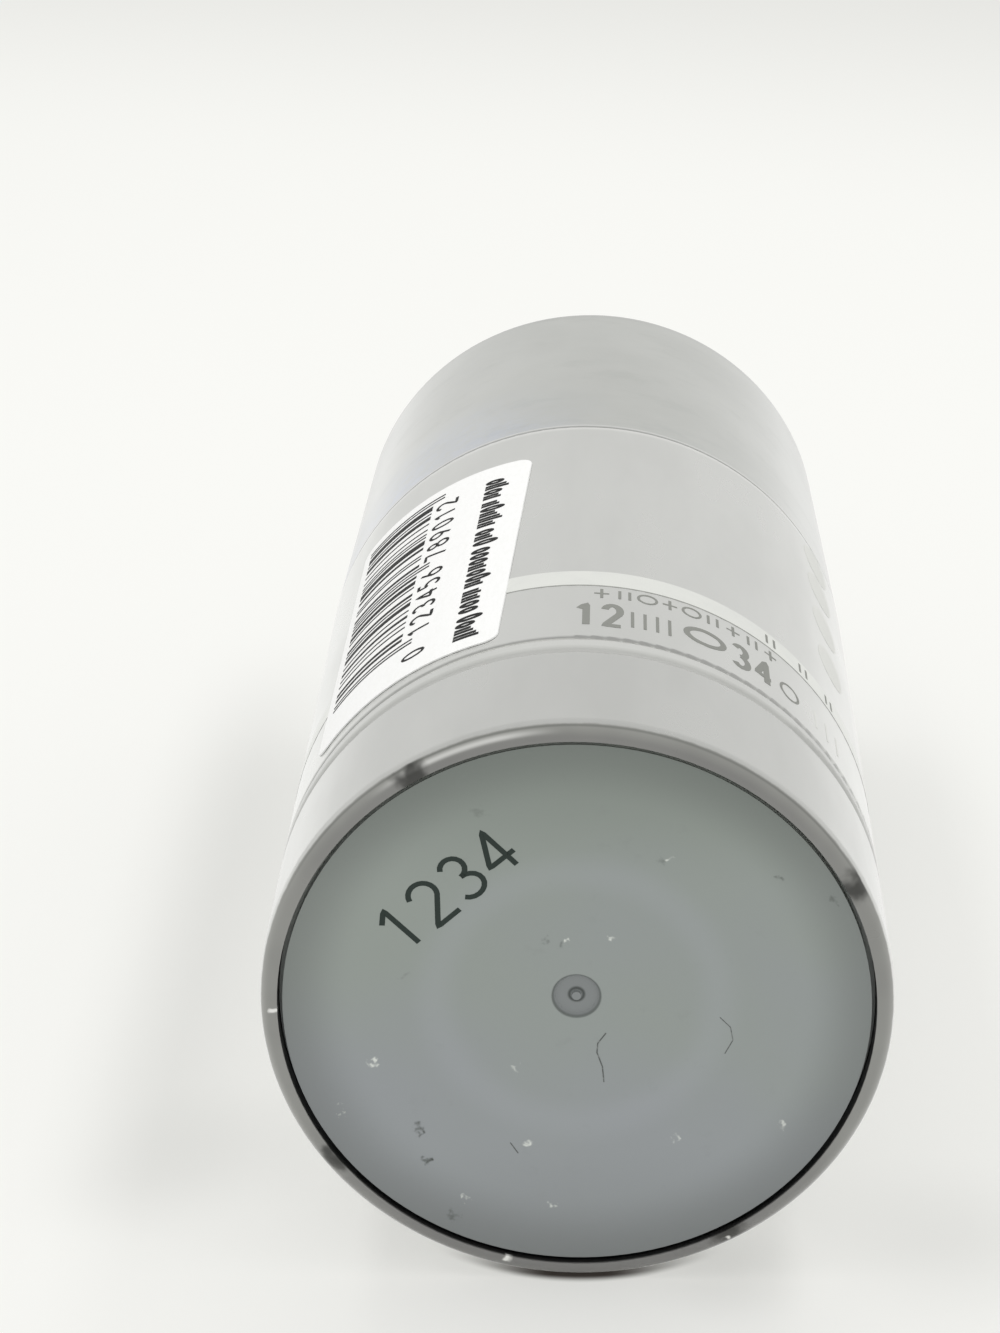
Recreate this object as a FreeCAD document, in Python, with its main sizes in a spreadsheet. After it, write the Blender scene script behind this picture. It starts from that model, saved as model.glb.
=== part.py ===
"""A round twist-up deodorant stick with its cap on, standing on its dial.

Millimetres. The base's centre is the origin and the stick's axis is +Z.
The front, where the price label sits, faces -Y.
"""

import FreeCAD, Part
import Sketcher
import math
import os
from FreeCAD import Placement, Rotation, Vector

# Driving dimensions, each with what it measures

DIMENSIONS = (
    ("outer_radius", 24.0, "outside of the dial, body sleeve and cap edge"),
    ("dial_height", 13.5, "base to the dial's top edge"),
    ("dial_gap", 0.35, "gap that the dial turns in, under the barrel's foot ring"),
    ("dial_wall", 1.4, "wall of the dial's outer sleeve"),
    ("dial_rounding", 1.2, "rounding of the dial's lower outer edge"),
    ("dial_top_rounding", 0.7, "rounding of the dial's upper outer edge"),
    ("rim_gap", 0.38, "dark line between the base disk and the dial's rim"),
    ("rim_gap_depth", 1.2, "depth of that line above the disk's edge"),
    ("disk_recess", 0.25, "base disk's edge, inside the dial's rim"),
    ("dish_depth", 2.3, "how far the base disk is hollowed at its middle"),
    ("disk_thickness", 1.3, "base disk of the hand wheel"),
    ("wheel_drop", 0.6, "hand wheel's skirt, below the dial's top edge"),
    ("wheel_wall", 1.2, "hand wheel's skirt wall"),
    ("gate_radius", 1.9, "dimple round the moulding gate"),
    ("gate_depth", 0.3, "depth of that dimple"),
    ("gate_nub_radius", 0.35, "gate stub left in the dimple"),
    ("foot_height", 2.0, "barrel's foot ring, seen as a bead above the dial"),
    ("foot_rounding", 0.6, "rounding of the foot ring's edges"),
    ("sleeve_gap", 0.15, "groove between the foot ring and the body sleeve"),
    ("sleeve_length", 48.0, "painted body sleeve"),
    ("sleeve_wall", 1.2, "body sleeve's wall"),
    ("sleeve_rounding", 0.25, "rounding of the body sleeve's end edges"),
    ("band_length", 5.0, "each band of the barrel that locates the body sleeve"),
    ("band_step", 0.65, "how far those bands stand out of the barrel's wall"),
    ("barrel_wall", 1.35, "barrel's wall"),
    ("floor_thickness", 1.3, "barrel's floor"),
    ("neck_height", 11.0, "barrel's neck above the body sleeve"),
    ("neck_wall", 0.9, "barrel's neck wall"),
    ("neck_bead", 0.06, "bead round the neck that grips the cap"),
    ("neck_rounding", 0.3, "rounding of the neck's top edge"),
    ("lip_length", 2.5, "barrel's locating lip, below the floor"),
    ("boss_length", 2.5, "barrel's bearing boss, below the floor"),
    ("lip_wall", 1.0, "locating lip's wall"),
    ("spigot_radius", 11.2, "barrel's spigot that the hand wheel snaps on to"),
    ("spigot_wall", 1.0, "spigot's wall"),
    ("spigot_length", 6.0, "spigot's length below the floor"),
    ("spigot_bead", 0.35, "how far the spigot's bead stands out"),
    ("bead_height", 0.9, "height of the spigot's bead"),
    ("snap_wall", 1.3, "hand wheel's snap ring wall"),
    ("bearing_wall", 1.6, "wall round the barrel's bearing hole"),
    ("rib_count", 4, "ribs in the barrel that keep the platform from turning"),
    ("rib_width", 1.4, "width of a rib"),
    ("rib_depth", 0.6, "how far a rib stands into the barrel"),
    ("rib_top_gap", 5.0, "rib's end below the barrel's rim"),
    ("rib_root", 0.35, "how deep a rib's foot reaches into the barrel's wall"),
    ("journal_radius", 3.9, "spindle's bearing journal"),
    ("stub_side", 5.4, "side of the spindle's square stub in the hand wheel"),
    ("hub_wall", 1.6, "wall of the hub round the stub"),
    ("hub_gap", 0.4, "hub below the barrel's bearing boss"),
    ("spindle_flange_radius", 8.0, "spindle's sealing flange on the barrel's floor"),
    ("spindle_flange_height", 1.0, "height of that flange"),
    ("core_radius", 3.0, "spindle's core, under the thread"),
    ("tip_rounding", 0.5, "rounding of the spindle's tip"),
    ("thread_depth", 1.15, "depth of the thread"),
    ("thread_pitch", 5.0, "rise of the platform for one turn of the dial"),
    ("thread_root", 2.2, "width of the thread at the core"),
    ("thread_crest", 1.2, "width of the thread at its crest"),
    ("thread_clearance", 0.28, "play round the thread in the nut and the stick"),
    ("tip_depth", 2.4, "spindle's tip below the barrel's rim"),
    ("lift_gap", 0.35, "lowest platform above the spindle's flange"),
    ("platform_thickness", 1.2, "lifting platform's floor"),
    ("platform_wall", 1.4, "lifting platform's rim wall"),
    ("nut_length", 6.0, "threaded nut and rim of the lifting platform"),
    ("nut_wall", 1.5, "wall round the nut's thread"),
    ("anchor_count", 6, "holes in the platform that anchor the stick"),
    ("anchor_radius", 1.5, "radius of such a hole"),
    ("anchor_circle", 12.5, "radius of the circle that they stand on"),
    ("anchor_azimuth", 30.0, "first anchor hole round from a rib, in degrees"),
    ("dome_height", 4.5, "domed top of the deodorant stick"),
    ("dome_edge", 1.0, "rounding round the foot of the dome"),
    ("stick_clearance", 0.25, "deodorant stick to the barrel's wall"),
    ("bore_end_gap", 0.5, "end of the stick's bore above the spindle's tip"),
    ("cap_gap", 0.12, "line between the body sleeve and the cap"),
    ("cap_height", 36.88, "cap's outer shell"),
    ("cap_taper", 0.8, "how much narrower the cap's top is, in radius"),
    ("cap_wall", 1.0, "cap shell's wall"),
    ("cap_top_thickness", 1.3, "cap shell's top"),
    ("cap_top_rounding", 1.4, "rounding of the cap's top edge"),
    ("cap_edge_rounding", 0.2, "rounding of the cap's lower edge"),
    ("liner_gap", 0.1, "cap's liner above the barrel's shoulder"),
    ("liner_roof", 1.0, "roof of the cap's liner"),
    ("dome_clearance", 1.5, "liner's roof above the stick's dome"),
    ("label_length", 39.5, "price label along the stick's axis"),
    ("label_width", 18.5, "price label round the sleeve"),
    ("label_corner", 1.3, "radius of the label's corners"),
    ("label_thickness", 0.12, "thickness of the label's paper"),
    ("label_lift", 0.02, "glue under the label"),
    ("label_rise", 21.2, "label's middle above the body sleeve's lower edge"),
    ("label_azimuth", -34.9, "label's middle round the stick, in degrees from the front"),
    ("label_tilt", 2.4, "label's lean to the right, in degrees"),
    ("press_clearance", 0.05, "play of the fixed fits"),
    ("running_clearance", 0.08, "play of the turning and sliding fits"),
    ("thrust_clearance", 0.1, "end play of the spindle's flange on the floor"),
)


# Two edges are at one place within this many millimetres

SAME_PLACE = 1e-4

# A line counts as running along an axis when this much of its direction does

ALONG = 0.999


def make_sheet(document):
    """Write the driving dimensions to the spreadsheet, one aliased cell each."""
    sheet = document.addObject("Spreadsheet::Sheet", "Sizes")
    for row, (alias, value, meaning) in enumerate(DIMENSIONS, start=1):
        sheet.set(f"A{row}", alias)
        sheet.set(f"B{row}", str(value))
        sheet.setAlias(f"B{row}", alias)
        sheet.set(f"C{row}", meaning)
    document.recompute()
    return sheet


class Size:
    """A length together with the spreadsheet expression that gives it."""

    def __init__(self, value, text):
        self.value = float(value)
        self.text = text

    def __add__(self, other):
        other = as_size(other)
        return Size(self.value + other.value, f"({self.text} + {other.text})")

    def __sub__(self, other):
        other = as_size(other)
        return Size(self.value - other.value, f"({self.text} - {other.text})")

    def __mul__(self, other):
        other = as_size(other)
        return Size(self.value * other.value, f"({self.text} * {other.text})")

    def __truediv__(self, other):
        other = as_size(other)
        return Size(self.value / other.value, f"({self.text} / {other.text})")


def as_size(number):
    """Take a plain number or a Size as a Size."""
    return number if isinstance(number, Size) else Size(number, str(number))


def smaller(first, second):
    """The smaller of two sizes, such as a rounding and the wall that limits it."""
    return Size(min(first.value, second.value), f"min({first.text}; {second.text})")


def sized(alias):
    """The driving dimension of that name."""
    return Size(getattr(sizes, alias), f"Sizes.{alias}")


doc = FreeCAD.newDocument("DeodorantStick")
sizes = make_sheet(doc)

# Heights of the joints between pieces, from the base up

floor_bottom = sized("dial_height") + sized("dial_gap")
foot_top = floor_bottom + sized("foot_height")
sleeve_bottom = foot_top + sized("sleeve_gap")
sleeve_top = sleeve_bottom + sized("sleeve_length")
cap_bottom = sleeve_top + sized("cap_gap")
cap_top = cap_bottom + sized("cap_height")
floor_top = floor_bottom + sized("floor_thickness")
lip_bottom = floor_bottom - sized("lip_length")
boss_bottom = floor_bottom - sized("boss_length")
spigot_bottom = floor_bottom - sized("spigot_length")
wheel_top = sized("dial_height") - sized("wheel_drop")
hub_top = boss_bottom - sized("hub_gap")
dish_top = sized("disk_recess") + sized("dish_depth")
socket_bottom = dish_top + sized("disk_thickness")
flange_bottom = floor_top + sized("thrust_clearance")
flange_top = flange_bottom + sized("spindle_flange_height")
platform_bottom = flange_top + sized("lift_gap")
platform_top = platform_bottom + sized("platform_thickness")
nut_top = platform_bottom + sized("nut_length")
neck_top = sleeve_top + sized("neck_height")
spindle_tip = neck_top - sized("tip_depth")
dome_top = neck_top + sized("dome_height")
roof_bottom = dome_top + sized("dome_clearance")
thread_start = platform_bottom + sized("thread_root") / 2

# Radii, from the outside in

axis = Size(0, "0")
outer = sized("outer_radius")
sleeve_bore = outer - sized("sleeve_wall")
band_radius = sleeve_bore - sized("press_clearance")
barrel_radius = band_radius - sized("band_step")
barrel_bore = barrel_radius - sized("barrel_wall")
neck_radius = barrel_bore + sized("neck_wall")
platform_radius = barrel_bore - sized("running_clearance")
platform_inner = platform_radius - sized("platform_wall")
stick_radius = barrel_bore - sized("stick_clearance")
rib_reach = barrel_bore - sized("rib_depth")
rim_bore = outer - sized("dial_wall")
disk_radius = rim_bore - sized("rim_gap")
skirt_radius = rim_bore - sized("press_clearance")
skirt_bore = skirt_radius - sized("wheel_wall")
lip_radius = skirt_bore - sized("running_clearance")
bearing_bore = sized("journal_radius") + sized("running_clearance")
snap_bore = sized("spigot_radius") + sized("running_clearance")
crest_radius = sized("core_radius") + sized("thread_depth")
nut_groove = crest_radius + sized("thread_clearance")
nut_bore = sized("core_radius") + sized("thread_clearance")
nut_radius = nut_groove + sized("nut_wall")
socket_side = sized("stub_side") + sized("press_clearance") * 2
hub_radius = socket_side * math.sqrt(0.5) + sized("hub_wall")
cap_bore = outer - sized("cap_wall")
cap_top_radius = outer - sized("cap_taper")


def inner_face(radius):
    """The height of the base disk's inner face at a radius, parallel to its dish."""
    share = radius / rim_bore
    return socket_bottom - sized("dish_depth") * share * share


def cap_inner_radius(height):
    """The cap shell's inner radius at a height, along its taper."""
    return cap_bore - sized("cap_taper") * (height - cap_bottom) / sized("cap_height")


def plane_of(body, role):
    """One of a body's own origin planes or axes."""
    return next(item for item in body.Origin.OriginFeatures if item.Role == role)


def new_body(label):
    """A body that carries one piece."""
    body = doc.addObject("PartDesign::Body", label)
    body.Label = label
    return body


def new_sketch(body, name, role, height=None):
    """A sketch on one of the body's planes, lifted to a height if one is given."""
    sketch = body.newObject("Sketcher::SketchObject", name)
    sketch.AttachmentSupport = (plane_of(body, role), [""])
    sketch.MapMode = "FlatFace"
    if height is not None:
        sketch.AttachmentOffset = Placement(Vector(0, 0, height.value), Rotation())
        sketch.setExpression("AttachmentOffset.Base.z", height.text)
    return sketch


def pin_coordinate(sketch, kind, index, size, name):
    """Hold one coordinate of a line's start at a size."""
    number = sketch.addConstraint(Sketcher.Constraint(kind, -1, 1, index, 1, size.value))
    sketch.renameConstraint(number, name)
    sketch.setExpression(f".Constraints.{name}", size.text)


def draw_outline(sketch, points, dome_at=None):
    """Draw a closed outline through (radius, height) sizes, counter-clockwise.

    dome_at is the index of the side that is an arc centred on the axis.
    """
    count = len(points)
    spots = [Vector(x.value, y.value, 0) for x, y in points]
    for index in range(count):
        start, end = spots[index], spots[(index + 1) % count]
        if index == dome_at:
            rise = end.y - start.y
            radius = (start.x ** 2 + rise ** 2) / (2 * rise)
            centre = Vector(0, end.y - radius, 0)
            first_angle = math.atan2(start.y - centre.y, start.x)
            circle = Part.Circle(centre, Vector(0, 0, 1), radius)
            sketch.addGeometry(Part.ArcOfCircle(circle, first_angle, math.pi / 2))
            sketch.addConstraint(Sketcher.Constraint("PointOnObject", index, 3, -2))
        else:
            sketch.addGeometry(Part.LineSegment(start, end))
    for index in range(count):
        following = (index + 1) % count
        sketch.addConstraint(Sketcher.Constraint("Coincident", index, 2, following, 1))
    for index, (x, y) in enumerate(points):
        if x.value == 0:
            sketch.addConstraint(Sketcher.Constraint("PointOnObject", index, 1, -2))
        else:
            pin_coordinate(sketch, "DistanceX", index, x, f"across_{index}")
        if y.value == 0:
            sketch.addConstraint(Sketcher.Constraint("PointOnObject", index, 1, -1))
        else:
            pin_coordinate(sketch, "DistanceY", index, y, f"along_{index}")


def revolve(body, points, dome_at=None, kind="Revolution", name="turned"):
    """Turn an outline round the stick's axis, to add it or, as a Groove, to cut it."""
    sketch = new_sketch(body, f"{body.Name}_{name}_outline", "XZ_Plane")
    draw_outline(sketch, points, dome_at)
    feature = body.newObject(f"PartDesign::{kind}", f"{body.Name}_{name}")
    feature.Profile = sketch
    feature.ReferenceAxis = (sketch, ["V_Axis"])
    feature.Angle = 360
    doc.recompute()
    return feature


def round_edges(body, radius, circles):
    """Round the circular edges that lie at the given (radius, height) sizes."""
    names = []
    base = body.Tip
    for number, edge in enumerate(base.Shape.Edges, start=1):
        if edge.Degenerated or edge.Curve.TypeId != "Part::GeomCircle":
            continue
        for ring, height in circles:
            same_ring = abs(edge.Curve.Radius - ring.value) < SAME_PLACE
            same_height = abs(edge.Curve.Center.z - height.value) < SAME_PLACE
            if same_ring and same_height:
                names.append(f"Edge{number}")
    fillet = body.newObject("PartDesign::Fillet", f"{body.Name}_rounding")
    fillet.Base = (base, names)
    fillet.Radius = radius.value
    fillet.setExpression("Radius", radius.text)
    body.Tip = fillet
    doc.recompute()


def rectangle_from(left, bottom, right, top):
    """The four corners of a rectangle, counter-clockwise."""
    return [(left, bottom), (right, bottom), (right, top), (left, top)]


def extrude(body, kind, sketch, name, length, reverse=False):
    """Pad or pocket a sketch by a length along its normal."""
    feature = body.newObject(f"PartDesign::{kind}", f"{body.Name}_{name}")
    feature.Profile = sketch
    feature.Length = length.value
    feature.setExpression("Length", length.text)
    feature.Reversed = reverse
    doc.recompute()
    return feature


def repeat_round(body, feature, count):
    """Repeat a feature evenly round the axis."""
    pattern = body.newObject("PartDesign::PolarPattern", f"{feature.Name}_pattern")
    pattern.Originals = [feature]
    pattern.Axis = (plane_of(body, "Z_Axis"), [""])
    pattern.Angle = 360
    pattern.Occurrences = int(count.value)
    pattern.setExpression("Occurrences", count.text)
    body.Tip = pattern
    doc.recompute()
    return pattern


def add_thread(body, kind, name, start, turned_height, inner, tip, root, crest):
    """Wind a trapezium from an inner radius to its tip round the axis.

    start is the height of the trapezium's middle, root and crest its widths.
    """
    sketch = new_sketch(body, f"{body.Name}_{name}_section", "XZ_Plane")
    corners = [
        (inner, start - root / 2),
        (tip, start - crest / 2),
        (tip, start + crest / 2),
        (inner, start + root / 2),
    ]
    draw_outline(sketch, corners)
    helix = body.newObject(f"PartDesign::{kind}", f"{body.Name}_{name}")
    helix.Profile = sketch
    helix.ReferenceAxis = (plane_of(body, "Z_Axis"), [""])
    helix.Mode = "pitch-height-angle"
    helix.Pitch = sized("thread_pitch").value
    helix.setExpression("Pitch", sized("thread_pitch").text)
    helix.Height = turned_height.value
    helix.setExpression("Height", turned_height.text)
    helix.Angle = 0
    helix.LeftHanded = False
    helix.Reversed = False
    doc.recompute()
    return helix


def make_dial_sleeve():
    """The dial's painted outer ring, with its rounded rim round the base disk."""
    body = new_body("dial_sleeve")
    revolve(body, rectangle_from(rim_bore, axis, outer, sized("dial_height")))
    widest = sized("dial_wall") - sized("press_clearance")
    round_edges(body, smaller(sized("dial_rounding"), widest), [(outer, axis)])
    top_rounding = smaller(sized("dial_top_rounding"), widest)
    round_edges(body, top_rounding, [(outer, sized("dial_height"))])
    return body


def make_hand_wheel():
    """The hand wheel: dished base disk, skirt in the dial's sleeve, snap ring and hub."""
    body = new_body("hand_wheel")
    gap_top = sized("disk_recess") + sized("rim_gap_depth")
    snap_outer = snap_bore + sized("snap_wall")
    groove_radius = snap_bore + sized("spigot_bead")
    groove_bottom = spigot_bottom - sized("running_clearance")
    groove_top = spigot_bottom + sized("bead_height") + sized("running_clearance")
    points = [
        (axis, axis),
        (disk_radius, axis),
        (disk_radius, gap_top),
        (skirt_radius, gap_top),
        (skirt_radius, wheel_top),
        (skirt_bore, wheel_top),
        (skirt_bore, inner_face(skirt_bore)),
        (snap_outer, inner_face(snap_outer)),
        (snap_outer, wheel_top),
        (snap_bore, wheel_top),
        (snap_bore, groove_top),
        (groove_radius, groove_top),
        (groove_radius, groove_bottom),
        (snap_bore, groove_bottom),
        (snap_bore, inner_face(snap_bore)),
        (hub_radius, inner_face(hub_radius)),
        (hub_radius, hub_top),
        (axis, hub_top),
    ]
    revolve(body, points)
    below = axis - sized("disk_recess")
    dish = [(axis, below), (rim_bore, below), (rim_bore, sized("disk_recess")), (axis, dish_top)]
    revolve(body, dish, dome_at=2, kind="Groove", name="dish")
    gate = sized("gate_radius")
    gate_top = dish_top + sized("gate_depth")
    dimple = [
        (sized("gate_nub_radius"), below),
        (gate, below),
        (gate, dish_top),
        (gate - sized("gate_depth"), gate_top),
        (sized("gate_nub_radius"), gate_top),
    ]
    revolve(body, dimple, kind="Groove", name="gate")
    square = new_sketch(body, "hand_wheel_square", "XY_Plane", socket_bottom)
    draw_square(square, socket_side)
    extrude(body, "Pocket", square, "socket", hub_top - socket_bottom, reverse=True)
    return body


def draw_square(sketch, side):
    """A square centred on the axis."""
    half = side / 2
    low = axis - half
    draw_outline(sketch, [(low, low), (half, low), (half, half), (low, half)])


def make_spindle():
    """The lifting screw: square stub, journal, sealing flange and coarse thread."""
    body = new_body("spindle")
    core = sized("core_radius")
    journal = sized("journal_radius")
    flange = sized("spindle_flange_radius")
    stub_bottom = socket_bottom + sized("hub_gap")
    journal_bottom = hub_top + sized("thrust_clearance")
    points = [
        (axis, journal_bottom),
        (journal, journal_bottom),
        (journal, flange_bottom),
        (flange, flange_bottom),
        (flange, flange_top),
        (core, flange_top),
        (core, spindle_tip),
        (axis, spindle_tip),
    ]
    revolve(body, points)
    round_edges(body, sized("tip_rounding"), [(core, spindle_tip)])
    square = new_sketch(body, "spindle_square", "XY_Plane", stub_bottom)
    draw_square(square, sized("stub_side"))
    extrude(body, "Pad", square, "stub", journal_bottom - stub_bottom)
    embedded = core - sized("thread_clearance")
    run = spindle_tip - thread_start - sized("thread_root")
    add_thread(
        body,
        "AdditiveHelix",
        "thread",
        thread_start,
        run,
        embedded,
        crest_radius,
        sized("thread_root"),
        sized("thread_crest"),
    )
    return body


def make_barrel():
    """The inner barrel: neck, bore with ribs, floor, foot ring, lip and spigot."""
    body = new_body("barrel")
    spigot = sized("spigot_radius")
    spigot_bore = spigot - sized("spigot_wall")
    bead = spigot + sized("spigot_bead")
    bead_top = spigot_bottom + sized("bead_height")
    lip_bore = lip_radius - sized("lip_wall")
    boss_radius = bearing_bore + sized("bearing_wall")
    lower_band_top = foot_top + sized("band_length")
    upper_band_bottom = sleeve_top - sized("band_length")
    neck_bead_radius = neck_radius + sized("neck_bead")
    neck_bead_bottom = sleeve_top + sized("neck_height") / 2
    neck_bead_top = neck_bead_bottom + sized("bead_height")
    points = [
        (bearing_bore, boss_bottom),
        (boss_radius, boss_bottom),
        (boss_radius, floor_bottom),
        (spigot_bore, floor_bottom),
        (spigot_bore, spigot_bottom),
        (bead, spigot_bottom),
        (bead, bead_top),
        (spigot, bead_top),
        (spigot, floor_bottom),
        (lip_bore, floor_bottom),
        (lip_bore, lip_bottom),
        (lip_radius, lip_bottom),
        (lip_radius, floor_bottom),
        (outer, floor_bottom),
        (outer, foot_top),
        (band_radius, foot_top),
        (band_radius, lower_band_top),
        (barrel_radius, lower_band_top),
        (barrel_radius, upper_band_bottom),
        (band_radius, upper_band_bottom),
        (band_radius, sleeve_top),
        (neck_radius, sleeve_top),
        (neck_radius, neck_bead_bottom),
        (neck_bead_radius, neck_bead_bottom),
        (neck_bead_radius, neck_bead_top),
        (neck_radius, neck_bead_top),
        (neck_radius, neck_top),
        (barrel_bore, neck_top),
        (barrel_bore, floor_top),
        (bearing_bore, floor_top),
    ]
    revolve(body, points)
    widest = sized("foot_height") / 2 - sized("press_clearance")
    foot_edges = [(outer, floor_bottom), (outer, foot_top)]
    round_edges(body, smaller(sized("foot_rounding"), widest), foot_edges)
    round_edges(body, sized("neck_rounding"), [(neck_radius, neck_top)])
    half_width = sized("rib_width") / 2
    root = barrel_bore + sized("rib_root")
    rib = new_sketch(body, "barrel_rib_section", "XY_Plane", floor_top)
    draw_outline(rib, rectangle_from(rib_reach, axis - half_width, root, half_width))
    rib_length = neck_top - sized("rib_top_gap") - floor_top
    pad = extrude(body, "Pad", rib, "rib", rib_length)
    repeat_round(body, pad, sized("rib_count"))
    return body


def make_body_sleeve():
    """The painted outer sleeve, carried by the barrel's two bands."""
    body = new_body("body_sleeve")
    revolve(body, rectangle_from(sleeve_bore, sleeve_bottom, outer, sleeve_top))
    rounding = smaller(sized("sleeve_rounding"), sized("sleeve_wall") / 2)
    round_edges(body, rounding, [(outer, sleeve_bottom), (outer, sleeve_top)])
    return body


def make_platform():
    """The lifting platform: a shallow cup with a threaded nut at its middle."""
    body = new_body("lift_platform")
    points = [
        (nut_bore, platform_bottom),
        (platform_radius, platform_bottom),
        (platform_radius, nut_top),
        (platform_inner, nut_top),
        (platform_inner, platform_top),
        (nut_radius, platform_top),
        (nut_radius, nut_top),
        (nut_bore, nut_top),
    ]
    revolve(body, points)
    notch = rib_notch(body, "platform_notch", sized("running_clearance") * 2)
    cut = extrude(body, "Pocket", notch, "notch", sized("nut_length") * 2, reverse=True)
    repeat_round(body, cut, sized("rib_count"))
    anchor = new_sketch(body, "platform_anchor", "XY_Plane", platform_bottom)
    draw_hole(anchor, sized("anchor_circle"), sized("anchor_radius"))
    hole = extrude(body, "Pocket", anchor, "anchor", sized("platform_thickness") * 2, True)
    repeat_round(body, hole, sized("anchor_count"))
    add_thread(
        body,
        "SubtractiveHelix",
        "nut_thread",
        thread_start - sized("thread_pitch"),
        sized("nut_length") + sized("thread_pitch") * 2,
        nut_bore - sized("thread_clearance"),
        nut_groove,
        sized("thread_root") + sized("thread_clearance") * 2,
        sized("thread_crest") + sized("thread_clearance") * 2,
    )
    return body


def rib_notch(body, name, play):
    """The outline of a notch that rides on one of the barrel's ribs."""
    half_width = sized("rib_width") / 2 + play
    inside = rib_reach - play
    sketch = new_sketch(body, name, "XY_Plane", platform_bottom)
    draw_outline(sketch, rectangle_from(inside, axis - half_width, band_radius, half_width))
    return sketch


def draw_hole(sketch, distance, radius):
    """A round hole at a distance from the axis, between two ribs."""
    turn = math.radians(sizes.anchor_azimuth)
    centre = Vector(distance.value * math.cos(turn), distance.value * math.sin(turn), 0)
    circle = Part.Circle(centre, Vector(0, 0, 1), radius.value)
    index = sketch.addGeometry(circle)
    number = sketch.addConstraint(Sketcher.Constraint("Radius", index, radius.value))
    sketch.renameConstraint(number, "hole_radius")
    sketch.setExpression(".Constraints.hole_radius", radius.text)
    across = distance * math.cos(turn)
    along = distance * math.sin(turn)
    for kind, size, name in (("DistanceX", across, "across"), ("DistanceY", along, "along")):
        number = sketch.addConstraint(Sketcher.Constraint(kind, -1, 1, index, 3, size.value))
        sketch.renameConstraint(number, name)
        sketch.setExpression(f".Constraints.{name}", size.text)


def make_stick():
    """The deodorant itself, cast round the spindle and into the platform's cup."""
    body = new_body("deodorant_stick")
    play = sized("press_clearance")
    cup_radius = platform_inner - play
    cup_top = nut_top + play
    nut_clear = nut_radius + play
    bore_radius = crest_radius + sized("thread_clearance")
    bore_top = spindle_tip + sized("bore_end_gap")
    points = [
        (nut_clear, platform_top),
        (cup_radius, platform_top),
        (cup_radius, cup_top),
        (stick_radius, cup_top),
        (stick_radius, neck_top),
        (axis, dome_top),
        (axis, bore_top),
        (bore_radius, bore_top),
        (bore_radius, cup_top),
        (nut_clear, cup_top),
    ]
    revolve(body, points, dome_at=4)
    round_edges(body, sized("dome_edge"), [(stick_radius, neck_top)])
    notch = rib_notch(body, "stick_notch", sized("stick_clearance"))
    cut = extrude(body, "Pocket", notch, "notch", dome_top - platform_bottom, reverse=True)
    repeat_round(body, cut, sized("rib_count"))
    return body


def make_cap_shell():
    """The cap's satin outer shell, a little narrower at its flat top."""
    body = new_body("cap_shell")
    roof_under = cap_top - sized("cap_top_thickness")
    points = [
        (cap_bore, cap_bottom),
        (outer, cap_bottom),
        (cap_top_radius, cap_top),
        (axis, cap_top),
        (axis, roof_under),
        (cap_inner_radius(roof_under), roof_under),
    ]
    revolve(body, points)
    edge = smaller(sized("cap_edge_rounding"), sized("cap_wall") / 2)
    round_edges(body, edge, [(outer, cap_bottom)])
    round_edges(body, sized("cap_top_rounding"), [(cap_top_radius, cap_top)])
    return body


def make_cap_liner():
    """The cap's inner cup, which seats on the barrel's shoulder and grips its neck."""
    body = new_body("cap_liner")
    bottom = sleeve_top + sized("liner_gap")
    bore = neck_radius + sized("running_clearance") + sized("neck_bead")
    roof_top = roof_bottom + sized("liner_roof")
    play = sized("press_clearance")
    points = [
        (bore, bottom),
        (cap_inner_radius(bottom) - play, bottom),
        (cap_inner_radius(roof_top) - play, roof_top),
        (axis, roof_top),
        (axis, roof_bottom),
        (bore, roof_bottom),
    ]
    revolve(body, points)
    return body


def make_price_label():
    """The paper price label, bent round the sleeve and stuck on a little askew."""
    inside = outer + sized("label_lift")
    outside = inside + sized("label_thickness")
    cylinders = []
    for name, radius in (("label_outside", outside), ("label_inside", inside)):
        cylinder = doc.addObject("Part::Cylinder", name)
        cylinder.setExpression("Radius", radius.text)
        cylinder.setExpression("Height", cap_top.text)
        cylinders.append(cylinder)
    paper = doc.addObject("Part::Cut", "label_paper")
    paper.Base, paper.Tool = cylinders
    blank = new_body("label_blank")
    half_angle = sized("label_width").value / (2 * outer.value)
    chord_share = math.sin(half_angle) / half_angle
    half_chord = sized("label_width") * chord_share / 2
    half_length = sized("label_length") / 2
    sketch = new_sketch(blank, "label_blank_outline", "XZ_Plane")
    low = axis - half_length
    draw_outline(sketch, rectangle_from(axis - half_chord, low, half_chord, half_length))
    pad = extrude(blank, "Pad", sketch, "pad", outer * 2)
    corners = [
        f"Edge{number}"
        for number, edge in enumerate(pad.Shape.Edges, start=1)
        if abs(edge.tangentAt(edge.FirstParameter).y) > ALONG
    ]
    fillet = blank.newObject("PartDesign::Fillet", "label_blank_corners")
    fillet.Base = (pad, corners)
    fillet.Radius = sized("label_corner").value
    fillet.setExpression("Radius", sized("label_corner").text)
    middle = sleeve_bottom + sized("label_rise")
    lean = Rotation(Vector(0, 1, 0), sized("label_tilt").value)
    blank.Placement = Placement(Vector(0, 0, middle.value), lean)
    label = doc.addObject("Part::Common", "price_label")
    label.Base = paper
    label.Tool = blank
    label.Placement = Placement(Vector(), Rotation(Vector(0, 0, 1), sized("label_azimuth").value))
    doc.recompute()
    return label


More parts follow.
